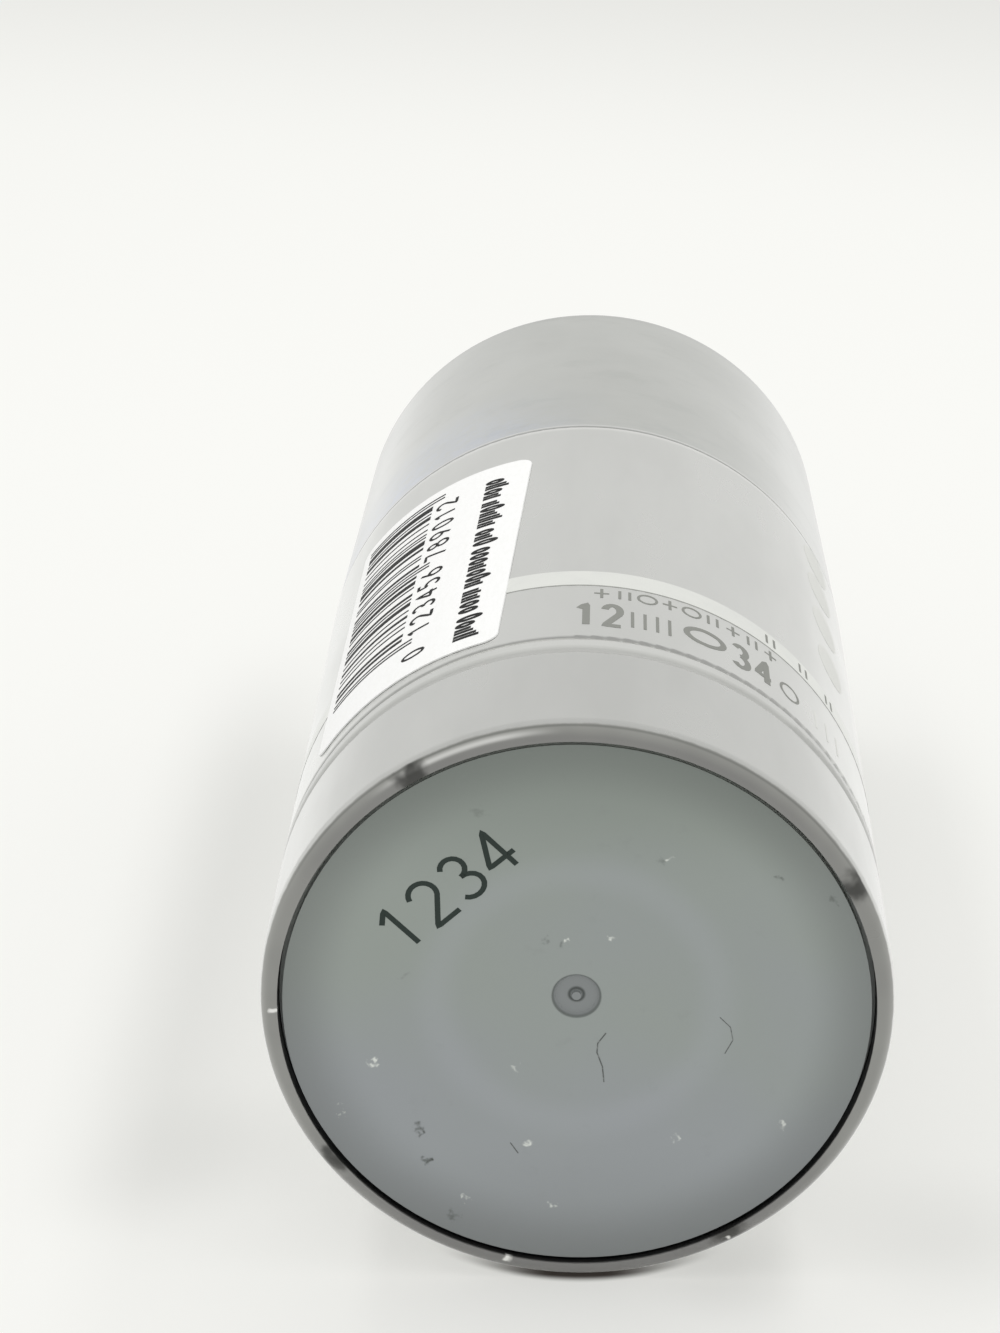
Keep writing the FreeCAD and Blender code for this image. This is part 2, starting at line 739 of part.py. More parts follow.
def check_document(pieces):
    """Stop if any feature failed or any piece is empty, broken or in several parts."""
    for item in doc.Objects:
        failed = [state for state in item.State if state in ("Invalid", "Error")]
        if failed:
            raise RuntimeError(f"{item.Name} failed: {failed}")
    for piece in pieces:
        shape = piece.Shape
        if shape.isNull() or not shape.isValid():
            raise RuntimeError(f"{piece.Label} has no valid shape")
        if len(shape.Solids) != 1:
            raise RuntimeError(f"{piece.Label} has {len(shape.Solids)} solids")


def write_parts(pieces):
    """Write each piece to a STEP file named after it."""
    os.makedirs("parts", exist_ok=True)
    for piece in pieces:
        piece.Shape.exportStep(os.path.join("parts", f"{piece.Label}.step"))


all_pieces = [
    make_dial_sleeve(),
    make_hand_wheel(),
    make_spindle(),
    make_barrel(),
    make_body_sleeve(),
    make_price_label(),
    make_platform(),
    make_stick(),
    make_cap_shell(),
    make_cap_liner(),
]
doc.recompute()
check_document(all_pieces)
write_parts(all_pieces)

lift_travel = spindle_tip.value - nut_top.value
print("platform travel", round(lift_travel, 3), "mm")
print("dial turns", round(lift_travel / sized("thread_pitch").value, 3))
for finished in all_pieces:
    box = finished.Shape.BoundBox
    print(finished.Label, round(finished.Shape.Volume, 1), "mm3", round(box.ZMin, 2), round(box.ZMax, 2))
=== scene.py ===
"""The looks of a round twist-up deodorant stick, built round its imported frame.

Metres, in the frame's own axes: the base's centre is the origin, the stick's axis is +Z
and the front, where the price label sits, faces -Y. Print is laid out in millimetres.
"""

import math
import random

import bmesh
import bpy
from mathutils import Matrix, Vector
from mathutils.bvhtree import BVHTree


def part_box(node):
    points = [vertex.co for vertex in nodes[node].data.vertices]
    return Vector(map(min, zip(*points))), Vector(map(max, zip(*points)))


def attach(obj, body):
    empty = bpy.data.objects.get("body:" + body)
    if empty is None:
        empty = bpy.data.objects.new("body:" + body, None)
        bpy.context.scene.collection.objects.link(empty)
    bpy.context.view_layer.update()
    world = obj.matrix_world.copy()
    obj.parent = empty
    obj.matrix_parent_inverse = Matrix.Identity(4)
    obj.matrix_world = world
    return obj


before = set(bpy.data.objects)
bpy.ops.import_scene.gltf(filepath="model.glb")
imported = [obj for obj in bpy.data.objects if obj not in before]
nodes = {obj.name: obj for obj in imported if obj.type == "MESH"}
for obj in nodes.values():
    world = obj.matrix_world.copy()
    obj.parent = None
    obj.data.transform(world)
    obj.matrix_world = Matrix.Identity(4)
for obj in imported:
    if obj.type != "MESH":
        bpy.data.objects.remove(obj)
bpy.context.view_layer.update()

MM = 0.001

# Places read from the frame

sleeve_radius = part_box("body_sleeve")[1].x
sleeve_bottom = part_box("body_sleeve")[0].z
sleeve_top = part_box("body_sleeve")[1].z
cap_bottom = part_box("cap_shell")[0].z
cap_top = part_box("cap_shell")[1].z
dial_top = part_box("dial_sleeve")[1].z

# Camera, as worked out from the circles of the pack in the photograph

CAMERA_PLACE = Vector((0.003749, -0.118944, -0.202985))
CAMERA_LOOK = Vector((-0.0405, 0.4064, 0.9128))
CAMERA_DOWN = Vector((0.0, 0.9136, -0.4067))
CAMERA_LENS = 83.83
CAMERA_NEAR = 0.01
SENSOR = 36.0

# Lamps and world: power in watts, sizes in metres and lean in degrees

LAMP_POWER = 0.3
LAMP_SIZE = (0.07, 0.5)
LAMP_DISTANCE = 0.45
LAMP_LEAN = 24
LAMP_MIDDLE = 0.12
SKY_LEVEL = 0.84
SKY_WHITE = (1, 1, 0.985, 1)
BACKGROUND_LEVEL = 0.93

# Floor, in metres and shares: its size, the strip by the rim, its lift for the camera, its far shade

FLOOR_SIZE = 3.0
FLOOR_STRIP = (-0.006, 0.0012)
FLOOR_LIFT = 0.36
FLOOR_FAR = (0.31, 0.55)
FLOOR_FAR_SLANT = 0.35
FLOOR_FAR_SHARE = 0.14

# Painted contact shadow: a dark line on the floor at the rim's foot. The curve times x squared bends it
# along the rim

CONTACT_DEPTH = (-0.0006, 0.0004)
CONTACT_END = (0.006, 0.003)
CONTACT_REACH = (0.012, 0.002)
CONTACT_CURVE = 29.8

# Soft shades on the floor: three spots as place, size and share, and a band at the left

FLOOR_DIM = (
    ((0.03, 0.005), 0.007, 0.1),
    ((0.012, 0.001), 0.004, 0.12),
    ((-0.03, 0.019), 0.006, 0.07),
)
FLOOR_BAND = (-0.037, 0.011)
FLOOR_BAND_ENDS = ((0.003, 0.015), (0.13, 0.09))
FLOOR_BAND_SHARE = 0.1

# Colours, as linear red, green and blue

SILVER = (0.74, 0.745, 0.725, 1)
SLEEVE_EDGE_HIGHLIGHT = (0.96, 0.96, 0.94, 1)
STRIPE = (0.81, 0.82, 0.785, 1)
STRIPE_PATCH = (0.785, 0.795, 0.765, 1)
STRIPE_SHADOW = (0.36, 0.365, 0.345, 1)
SLEEVE_INK = (0.27, 0.275, 0.255, 1)
SLEEVE_INK_PALE = (0.75, 0.755, 0.725, 1)
LABEL_WHITE = (0.985, 0.985, 0.98, 1)
LABEL_FIBRE = (0.96, 0.96, 0.95, 1)
LABEL_INK = (0.012, 0.012, 0.012, 1)
LOT_INK = (0.035, 0.048, 0.042, 1)
HAIR = (0.13, 0.14, 0.135, 1)
WHEEL_GREEN = (0.328, 0.364, 0.335, 1)
WHEEL_BLUE = (0.333, 0.355, 0.368, 1)
DISK_SHADE = (0.15, 0.16, 0.155, 1)
DISK_TOP_SHADE = (0.14, 0.165, 0.14, 1)
BLOTCH = (0.24, 0.26, 0.25, 1)
SINK_LIGHT = (0.45, 0.47, 0.52, 1)
PIT_SHADE = (0.2, 0.205, 0.22, 1)
PIT_LINE_SHADE = (0.06, 0.07, 0.065, 1)
SKIRT_LIGHT = (0.62, 0.66, 0.62, 1)
MARK_DARK = (0.07, 0.08, 0.07, 1)
MARK_PALE = (0.85, 0.88, 0.82, 1)
BARREL_GREY = (0.55, 0.555, 0.535, 1)
GROOVE_LIGHT = (0.93, 0.93, 0.91, 1)
RIM_GREY = (0.322, 0.324, 0.306, 1)
RIM_DULL = (0.29, 0.291, 0.276, 1)
RIM_SHADE = (0.19, 0.186, 0.186, 1)
DARK_LINE_REFLECTION = (0.12, 0.125, 0.115, 1)
GLEAM_HIGHLIGHT = (0.8, 0.8, 0.78, 1)
DARK_REFLECTION = (0.04, 0.04, 0.036, 1)
CHIP_PALE = (0.9, 0.9, 0.87, 1)
GAP_SHADE = (0.02, 0.02, 0.02, 1)
CAP_LIGHT = (0.485, 0.499, 0.464, 1)
CAP_DULL = (0.46, 0.474, 0.44, 1)
SMEAR_GREY = (0.46, 0.49, 0.475, 1)
HAZE_BLUE = (0.49, 0.545, 0.67, 1)
HAZE_PINK = (0.7, 0.655, 0.67, 1)
CAP_TOP_EDGE_SHADE = (0.36, 0.365, 0.35, 1)
CAP_EDGE_HIGHLIGHT = (0.8, 0.805, 0.785, 1)
SCREW_NATURAL = (0.84, 0.84, 0.81, 1)
LINER_WHITE = (0.87, 0.87, 0.86, 1)
GEL_PALE = (0.8, 0.86, 0.85, 1)
GEL_DULL = (0.74, 0.81, 0.8, 1)
FLOOR_WHITE = (0.93, 0.93, 0.905, 1)
FLOOR_SHADE = (0.12, 0.12, 0.11, 1)
CONTACT_SHADOW = (0.06, 0.052, 0.046, 1)

# Print on the body sleeve, in millimetres up the stick and degrees round from the front

STRIPE_LOW = 26.35
STRIPE_HIGH = 29.2
STRIPE_LINE = 0.16
STRIPE_MARK_AZIMUTHS = (40.0, 49.0, 57.5)
OVAL_HEIGHTS = (60.8, 54.3, 46.4, 38.0)
OVAL_AZIMUTH = 61.5
OVAL_RADII = (2.1, 3.0)

# Small row of marks: its height and ends, and half the width and height of each kind

SMALL_ROW_HEIGHT = 24.7
SMALL_ROW_AZIMUTHS = (4.4, 39.6)
SMALL_ROW = ("cross", "bar", "ring", "cross", "ring", "bar", "cross", "bar", "cross")
SMALL_RING = (0.75, 0.82)
SMALL_CROSS = (0.6, 0.9)
SMALL_BARS = (0.4, 0.8)

# Large row of marks, in millimetres round from the front. A ring is its place, radii and stroke

LARGE_ROW_FOOT = 18.4
LARGE_MARK_LIFT = 0.2
LARGE_BARS = (4.3, 5.3, 6.3, 7.3)
LARGE_BAR_HEIGHT = 3.0
WIDE_RING = ((10.3, 2.0), (1.6, 1.3), 0.55)
NARROW_RING = ((18.4, 1.6), (0.95, 1.25), 0.26)
PALE_BARS = (21.5, 23.0, 24.5)
PALE_BAR_HEIGHT = 3.2
FIRST_DIGITS_START = -0.1
LAST_DIGITS_START = 12.8
BOLD_DIGIT_WIDTH = 2.2
BOLD_DIGIT_HEIGHT = 4.0
BOLD_DIGIT_STROKE = 0.6
BOLD_DIGIT_STEP = 2.15

# Price label, in millimetres and degrees, laid out across it and along it from its middle

LABEL_AZIMUTH = -34.9
LABEL_MIDDLE = 37.2
LABEL_TILT = 2.4
LABEL_DICE = 21
BAR_MODULE = 0.334
BAR_INK_SHARE = 0.76
BARS_START = -13.6
BARS_LEFT = -8.1
BARS_RIGHT = -0.1
GUARDS_RIGHT = 1.1

# Digits beside the bars: how many in each group, and where it starts from the bars' start

LABEL_DIGIT_GROUPS = ((1, -3.2), (6, 1.6), (6, 16.8))
LABEL_DIGIT_STEP = 2.25
LABEL_DIGIT_SIZE = 2.0
LABEL_DIGIT_FOOT = 2.55
LABEL_DIGIT_STROKE = 0.29

# Bold row on the label: the shapes in each word, their sizes, and the shares of two kinds

WORDS = (4, 4, 7, 3, 5, 4)
WORDS_START = -17.8
WORD_GAP = 0.55
LETTER_STEP = 1.17
LETTER_LOW = 5.35
LETTER_HIGH = 7.0
LETTER_TALL = 7.55
LETTER_STROKE = 0.42
TALL_SHARE = 0.3
RING_SHARE = 0.55

# Lot number on the base disk, in millimetres and degrees

LOT_START = (-13.2, -6.4)
LOT_STEP = 3.17
LOT_TURN = 41.6
LOT_HEIGHT = 3.9
LOT_STROKE = 0.42

# Middle of a digit that is one high

DIGIT_MIDDLE = (0.31, 0.5)

# How far print stands out of what it is printed on, and reaches into it, in millimetres

INK_RISE = 0.012
INK_ROOT = 0.03

# Steps round the sleeve that a band of print is made in, and round a printed ring

BAND_STEPS = 240
RING_STEPS = 28

# A step longer than any side of a printed ring, so that none is divided, in millimetres

RING_SIDE = 9


def metres(*sizes):
    """Sizes in metres, from millimetres."""
    return tuple(size * MM for size in sizes)


def toned(colour, tone):
    """A colour made darker or lighter by a factor."""
    return tuple(c * tone for c in colour[:3]) + (1,)


class Nodes:
    """A node tree, with short calls for the nodes that the materials and the world share."""

    def __init__(self, tree):
        self.tree = tree
        self.tree.nodes.clear()

    def node(self, kind, values=(), **settings):
        """A node with its settings, and its inputs set or linked in order."""
        made = self.tree.nodes.new(kind)
        for name, value in settings.items():
            setattr(made, name, value)
        for socket, value in zip(made.inputs, values):
            self.feed(socket, value)
        return made

    def feed(self, socket, value):
        """Set an input to a number or colour, or link it to another node's output."""
        if isinstance(value, bpy.types.NodeSocket):
            self.tree.links.new(value, socket)
        else:
            socket.default_value = value

    def calculate(self, operation, *values):
        """One math node."""
        return self.node("ShaderNodeMath", values, operation=operation).outputs[0]

    def times(self, first, *others):
        """The product of two or more numbers."""
        product = first
        for value in others:
            product = self.calculate("MULTIPLY", product, value)
        return product

    def rise(self, value, low, high, start=0.0, end=1.0):
        """A smooth step from start to end as value goes from low to high."""
        made = self.node("ShaderNodeMapRange", (value, low, high, start, end))
        made.interpolation_type = "SMOOTHSTEP"
        return made.outputs[0]


class Paint(Nodes):
    """A material with one surface shader."""

    def __init__(self, name, **sockets):
        self.material = bpy.data.materials.new(name)
        self.material.use_nodes = True
        super().__init__(self.material.node_tree)
        self.surface = self.node("ShaderNodeBsdfPrincipled")
        output = self.node("ShaderNodeOutputMaterial")
        self.tree.links.new(self.surface.outputs["BSDF"], output.inputs["Surface"])
        for socket, value in sockets.items():
            self.surface.inputs[socket.replace("_", " ")].default_value = value
        self.place = self.node("ShaderNodeTexCoord").outputs["Object"]

    def set(self, name, value):
        """Feed one input of the surface shader."""
        self.feed(self.surface.inputs[name], value)

    def so_far(self):
        """The colour that the surface has been given so far."""
        return self.surface.inputs["Base Color"].links[0].from_socket

    def mix(self, share, first, second):
        """A colour between two, by a share."""
        made = self.node("ShaderNodeMix", data_type="RGBA")
        self.feed(made.inputs["Factor"], share)
        for socket, value in zip([s for s in made.inputs if s.type == "RGBA"], (first, second)):
            self.feed(socket, value)
        return next(s for s in made.outputs if s.type == "RGBA")

    def noise(self, scale, detail, roughness=0.5, stretch=(1, 1, 1)):
        """Soft noise from 0 to 1, with scale in waves per metre."""
        mapped = self.node("ShaderNodeMapping", (self.place,))
        mapped.inputs["Scale"].default_value = stretch
        made = self.node("ShaderNodeTexNoise")
        self.feed(made.inputs["Vector"], mapped.outputs[0])
        made.inputs["Scale"].default_value = scale
        made.inputs["Detail"].default_value = detail
        made.inputs["Roughness"].default_value = roughness
        return made.outputs[0]

    def axes(self):
        """The place along X, Y and Z, in metres."""
        return self.node("ShaderNodeSeparateXYZ", (self.place,)).outputs

    def radius(self):
        """The distance from the stick's axis, in metres."""
        flat = self.node("ShaderNodeVectorMath", (self.place, (1, 1, 0)), operation="MULTIPLY")
        length = self.node("ShaderNodeVectorMath", (flat.outputs[0],), operation="LENGTH")
        return length.outputs["Value"]

    def spot(self, centre, size, soft):
        """1 within a distance of a point, falling to 0 over a share of that distance."""
        away = self.node("ShaderNodeVectorMath", (self.place, centre), operation="DISTANCE")
        return self.rise(away.outputs["Value"], size * (1 - soft), size * (1 + soft), 1, 0)

    def roughen(self, amount, scale):
        """Shift the place unevenly from here on, so that spots get ragged edges."""
        made = self.node("ShaderNodeTexNoise")
        self.feed(made.inputs["Vector"], self.place)
        made.inputs["Scale"].default_value = scale
        values = (made.outputs["Color"], (0.5,) * 3)
        centred = self.node("ShaderNodeVectorMath", values, operation="SUBTRACT")
        values = (centred.outputs[0], (amount,) * 3, self.place)
        shifted = self.node("ShaderNodeVectorMath", values, operation="MULTIPLY_ADD")
        self.place = shifted.outputs[0]

    def ring(self, value, middle, half_width):
        """1 where value is at the middle, falling to 0 at half_width from it."""
        off = self.calculate("ABSOLUTE", self.calculate("SUBTRACT", value, middle))
        return self.rise(off, 0, half_width, 1, 0)

    def bump(self, height, strength, distance):
        """Raise the surface by a height from 0 to 1, over a distance in metres."""
        made = self.node("ShaderNodeBump")
        made.inputs["Strength"].default_value = strength
        made.inputs["Distance"].default_value = distance
        self.feed(made.inputs["Height"], height)
        self.set("Normal", made.outputs[0])


# Materials


def silver_paint(name, tone):
    """Silver paint of the sleeve and the dial: fine metallic grain, faint rub marks."""
    paint = Paint(name, Metallic=0.8, Coat_Weight=0.25, Coat_Roughness=0.12)
    rubs = paint.noise(160, 3, 0.6, (1, 1, 0.35))
    light = toned(SILVER, tone)
    paint.set("Base Color", paint.mix(paint.rise(rubs, 0.35, 0.7), light, toned(light, 0.97)))
    paint.set("Roughness", paint.rise(rubs, 0.3, 0.75, 0.27, 0.33))
    paint.bump(paint.noise(7000, 2), 0.03, 0.02 * MM)
    return paint


def dial_paint():
    """The dial: silver-painted side, and a bare grey rim face with its chips, painted shade in the gap and
    painted dark reflections.
    """
    paint = silver_paint("dial_paint", 0.945)
    painted = paint.so_far()
    _, y, z = paint.axes()
    radius = paint.radius()
    ragged = paint.calculate("MULTIPLY_ADD", paint.noise(900, 3), 0.2 * MM, z)
    bare = paint.rise(ragged, *metres(*PAINT_END))
    face = rim_face(paint, y, radius)
    # Painted shade on the wall of the gap round the base disk, weaker at the top
    inside = paint.rise(radius, *metres(RIM_BORE + 0.04, RIM_BORE + 0.01))
    deep = paint.times(inside, paint.rise(z, *metres(0.04, 0.24)))
    bore = paint.times(deep, paint.rise(y, *metres(-21, -6), 0.2, 1))
    paint.roughen(2.2 * MM, 700)
    # Painted dark reflections: soft dark spots on the rim face
    for azimuth, size in RIM_DARK_REFLECTIONS:
        dark_reflection_spot = paint.spot(on_circle(DARK_REFLECTION_RADIUS, azimuth, 0), size * MM, 0.6)
        face = paint.mix(paint.times(dark_reflection_spot, 0.9), face, DARK_REFLECTION)
    colour = paint.mix(bore, paint.mix(bare, painted, face), GAP_SHADE)
    for azimuth, chip_radius, size in RIM_CHIPS:
        chip = paint.spot(on_circle(chip_radius, azimuth, 0), size * MM, 0.6)
        colour = paint.mix(chip, colour, CHIP_PALE)
    paint.set("Base Color", colour)
    paint.set("Metallic", paint.calculate("MULTIPLY_ADD", bare, -0.7, 0.8))
    return paint


def rim_face(paint, y, radius):
    """The rim's bare face: painted shade low down and by the bore, with a painted dark reflection line and
    a painted highlight above.
    """
    face = paint.mix(paint.rise(paint.noise(130, 3), 0.35, 0.7), RIM_GREY, RIM_DULL)
    # Painted shade on the rim face towards the bottom, and near the bore at the top
    face = paint.mix(paint.rise(y, *metres(8, 22), 0, 0.75), face, RIM_SHADE)
    upper = paint.rise(y, *metres(-6, -20), 0, 0.45)
    face = paint.mix(paint.times(paint.rise(radius, *metres(23.6, 22.9)), upper), face, RIM_SHADE)
    # A painted dark reflection line near the top
    upper = paint.rise(y, *metres(-6, -16), 0, 0.5)
    face = paint.mix(paint.times(paint.ring(radius, *metres(*RIM_DARK_LINE)), upper), face, DARK_LINE_REFLECTION)
    # A painted highlight near the top, a little to the left
    near = paint.spot(on_circle(*GLEAM_MIDDLE, 0), GLEAM_REACH * MM, 0.5)
    gleam = paint.times(paint.ring(radius, *metres(*RIM_GLEAM)), near, 0.75)
    return paint.mix(gleam, face, GLEAM_HIGHLIGHT)


def sleeve_paint():
    """The body's silver paint, with a painted highlight where its top edge turns in under the cap."""
    paint = silver_paint("sleeve_paint", 1.06)
    painted = paint.so_far()
    # Painted highlight along the sleeve's top edge
    edge_highlight = paint.rise(paint.axes()[2], sleeve_top - 1.1 * MM, sleeve_top - 0.2 * MM, 0, 0.9)
    paint.set("Base Color", paint.mix(edge_highlight, painted, SLEEVE_EDGE_HIGHLIGHT))
    return paint


def barrel_plastic():
    """The inner barrel: grey on its foot ring, with painted light down in the grooves beside it."""
    paint = moulded_plastic("barrel_plastic", BARREL_GREY, 0.34)
    paint.set("Sheen Weight", 0.3)
    moulded = paint.so_far()
    # Painted light that lifts the shade in the grooves
    above_ring = paint.calculate("SUBTRACT", paint.axes()[2], (dial_top + sleeve_bottom) / 2)
    groove_light = paint.rise(paint.calculate("ABSOLUTE", above_ring), *metres(0.7, 0.98))
    paint.set("Base Color", paint.mix(groove_light, moulded, GROOVE_LIGHT))
    return paint


def moulded_plastic(name, colour, roughness):
    """Plain moulded plastic: fine texture, a little mottling."""
    paint = Paint(name, Roughness=roughness)
    mottle = paint.rise(paint.noise(180, 3), 0.35, 0.7)
    paint.set("Base Color", paint.mix(mottle, colour, toned(colour, 0.94)))
    paint.bump(paint.noise(9000, 2), 0.12, 0.03 * MM)
    return paint


def wheel_plastic():
    """The base disk: matt, blue-green grey, with painted shade and light in its rings and on its face,
    painted light on its skirt, dust and marks.
    """
    paint = Paint("wheel_plastic")
    _, y, z = paint.axes()
    radius = paint.radius()
    cloud = paint.noise(48, 2)
    colour = disk_tone(paint, y, radius, cloud)
    colour = disk_rings(paint, colour, radius)
    # Painted light on the disk's side where the gap shows it at the top
    inner = paint.times(paint.rise(radius, *metres(21.9, 22.1)), paint.rise(z, *metres(0.42, 0.58)))
    skirt = paint.times(inner, paint.rise(y, *metres(4, -16)))
    colour = paint.mix(skirt, colour, SKIRT_LIGHT)
    paint.roughen(1.8 * MM, 1400)
    for marks, tone in ((DARK_MARKS, MARK_DARK), (LIGHT_MARKS, MARK_PALE)):
        for across, down, size, share in marks:
            middle = (across * MM, down * MM, dish_height(across, down))
            colour = paint.mix(paint.times(paint.spot(middle, size * MM, 0.7), share), colour, tone)
    paint.set("Base Color", colour)
    paint.set("Roughness", paint.rise(cloud, 0.3, 0.7, 0.36, 0.46))
    paint.bump(paint.noise(5200, 3), 0.14, 0.03 * MM)
    return paint


def disk_tone(paint, y, radius, cloud):
    """Green turning blue down the disk, with painted shade towards its edge, its bottom and its top, and
    faint blotches.
    """
    down = paint.calculate("MULTIPLY_ADD", y, 22.0, cloud)
    colour = paint.mix(paint.rise(down, 0.2, 0.85), WHEEL_GREEN, WHEEL_BLUE)
    # Painted shade towards the disk's edge, its bottom and its top
    edge = paint.rise(radius, *metres(17, 22.2), 0, 0.5)
    lower = paint.rise(y, *metres(12, 21), 0, 0.22)
    upper = paint.rise(y, *metres(-9, -21), 0, 0.36)
    for shade, tone in ((edge, DISK_SHADE), (lower, DISK_SHADE), (upper, DISK_TOP_SHADE)):
        colour = paint.mix(shade, colour, tone)
    blotches = paint.rise(paint.noise(420, 4, 0.65), 0.6, 0.74)
    return paint.mix(paint.times(blotches, 0.14), colour, BLOTCH)


def disk_rings(paint, colour, radius):
    """The sink mark, a real shallow dip, as a faint band of painted light, and painted shade in the pit in
    the middle and along its edges.
    """
    # Painted light: the sink mark as a faint pale band
    sink = paint.ring(radius, *metres(*SINK_RING))
    colour = paint.mix(paint.times(sink, 0.16), colour, SINK_LIGHT)
    # Painted shade in the pit and along its edges
    pit = paint.rise(radius, *metres(*PIT_EDGE))
    colour = paint.mix(paint.times(pit, 0.55), colour, PIT_SHADE)
    for middle, half_width, share in PIT_LINES:
        line = paint.ring(radius, *metres(middle, half_width))
        colour = paint.mix(paint.times(line, share), colour, PIT_LINE_SHADE)
    return colour


def cap_satin():
    """The cap's satin coating: cloudy, with finger smudges, a haze at its front left, painted shade under
    its top edge and a painted highlight at its bottom edge.
    """
    paint = Paint(
        "cap_satin", Metallic=0.75, Coat_Weight=1.0, Coat_Roughness=0.24, Coat_IOR=1.8,
        Sheen_Weight=0.6, Sheen_Roughness=0.4,
    )
    x, y, z = paint.axes()
    cloud = paint.noise(60, 4, 0.6)
    colour = paint.mix(paint.rise(cloud, 0.35, 0.7), CAP_LIGHT, CAP_DULL)
    smears = paint.rise(paint.noise(150, 5, 0.65, (1, 1, 2.4)), 0.52, 0.68)
    by_edge = paint.rise(z, cap_bottom + 13 * MM, cap_bottom, 0.12, 1)
    colour = paint.mix(paint.times(smears, by_edge, 0.38), colour, SMEAR_GREY)
    colour = cap_haze(paint, colour, x, y, z)
    # Painted shade just under the cap's top edge
    top_edge_shade = paint.rise(z, cap_top - 2.5 * MM, cap_top - 1.6 * MM, 0, 0.35)
    colour = paint.mix(top_edge_shade, colour, CAP_TOP_EDGE_SHADE)
    # Painted highlight along the cap's bottom edge
    bottom_edge_highlight = paint.rise(z, cap_bottom + 0.5 * MM, cap_bottom + 0.2 * MM, 0, 0.9)
    paint.set("Base Color", paint.mix(bottom_edge_highlight, colour, CAP_EDGE_HIGHLIGHT))
    clean = paint.rise(cloud, 0.3, 0.7, 0.34, 0.44)
    paint.set("Roughness", paint.calculate("ADD", paint.times(smears, 0.1), clean))
    paint.bump(paint.noise(16000, 2), 0.07, 0.02 * MM)
    return paint


def cap_haze(paint, colour, x, y, z):
    """A patchy blue haze with a little pink in it, low on the cap's front left."""
    left = paint.times(paint.rise(x, *metres(4, -14)), paint.rise(y, *metres(4, -12)))
    haze = paint.times(left, paint.rise(z, cap_bottom + 16 * MM, cap_bottom + 2 * MM))
    patches = paint.times(paint.rise(paint.noise(95, 4), 0.35, 0.6, 0.45, 1), haze)
    blue = paint.times(patches, paint.rise(paint.noise(900, 4, 0.7), 0.35, 0.6, 0.5, 1))
    colour = paint.mix(blue, colour, HAZE_BLUE)
    pink = paint.times(haze, paint.rise(paint.noise(70, 2), 0.5, 0.7, 0, 0.4))
    return paint.mix(pink, colour, HAZE_PINK)


def label_paper():
    """Coated white paper with a faint fibre."""
    paint = Paint("label_paper", Roughness=0.5, Sheen_Weight=0.2)
    fibre = paint.noise(2600, 5, 0.7, (1, 1, 0.3))
    paint.set("Base Color", paint.mix(paint.rise(fibre, 0.4, 0.65), LABEL_WHITE, LABEL_FIBRE))
    paint.bump(fibre, 0.15, 0.02 * MM)
    return paint


def ink(name, colour, coverage=0.72):
    """Printed ink, a little uneven where the surface shows through."""
    paint = Paint(name, Roughness=0.5, Specular_IOR_Level=0.15)
    worn = paint.rise(paint.noise(3000, 3, 0.6), coverage, coverage + 0.12)
    lighter = tuple(min(1, c * 1.5 + 0.03) for c in colour[:3]) + (1,)
    paint.set("Base Color", paint.mix(worn, colour, lighter))
    return paint


def stick_gel():
    """The deodorant itself: smooth, pale and slightly cloudy."""
    paint = Paint("stick_gel", Roughness=0.22, IOR=1.42, Subsurface_Weight=0.35, Subsurface_Scale=0.004)
    cloud = paint.rise(paint.noise(70, 3), 0.3, 0.7)
    paint.set("Base Color", paint.mix(cloud, GEL_PALE, GEL_DULL))
    paint.bump(paint.noise(320, 2), 0.1, 0.1 * MM)
    return paint


# Places for marks


def on_circle(radius, azimuth, height):
    """A point in metres from millimetres and degrees round from the front."""
    turn = math.radians(azimuth)
    return Vector((radius * math.sin(turn), -radius * math.cos(turn), height)) * MM


def surface_of(name):
    """A node's surface, for finding where a ray meets it."""
    data = nodes[name].data
    return BVHTree.FromPolygons([v.co for v in data.vertices], [p.vertices for p in data.polygons])


wheel_surface = surface_of("hand_wheel")


def dish_height(across, down):
    """The height of the base disk's face, in metres, at a place in millimetres."""
    hit = wheel_surface.ray_cast(Vector((across * MM, down * MM, -0.01)), Vector((0, 0, 1)))[0]
    return hit.z


# Marks on the base disk: across, down, radius in millimetres, and strength

DARK_MARKS = (
    (-12.3, 11.0, 0.34, 0.75),
    (-12.0, 11.5, 0.24, 0.85),
    (-11.59, 13.92, 0.3, 1.0),
    (15.07, -11.09, 0.28, 0.6),
    (19.28, -9.53, 0.25, 0.5),
    (6.5, -12.02, 0.35, 0.35),
    (-2.27, -4.83, 0.25, 0.35),
    (-1.0, -4.5, 0.22, 0.4),
    (-7.12, -16.34, 0.4, 0.22),
    (-13.11, -2.22, 0.3, 0.2),
    (-9.81, 18.55, 0.3, 0.5),
    (-9.4, 18.6, 0.25, 0.4),
)
LIGHT_MARKS = (
    (-0.68, -4.82, 0.2, 0.75),
    (2.63, -5.03, 0.2, 0.7),
    (6.95, -12.39, 0.22, 0.7),
    (-15.45, 5.2, 0.26, 0.8),
    (-18.22, 8.93, 0.22, 0.6),
    (-18.0, 9.5, 0.18, 0.6),
    (-3.83, 12.58, 0.22, 0.7),
    (-1.93, 17.9, 0.24, 0.7),
    (-4.69, 6.4, 0.22, 0.4),
    (-4.6, 5.7, 0.18, 0.3),
    (15.65, 10.3, 0.2, 0.6),
    (7.62, 12.05, 0.2, 0.5),
    (-8.78, 17.17, 0.2, 0.5),
)

# Fibres that lie on the base disk: a path of across and down, and a width, in millimetres

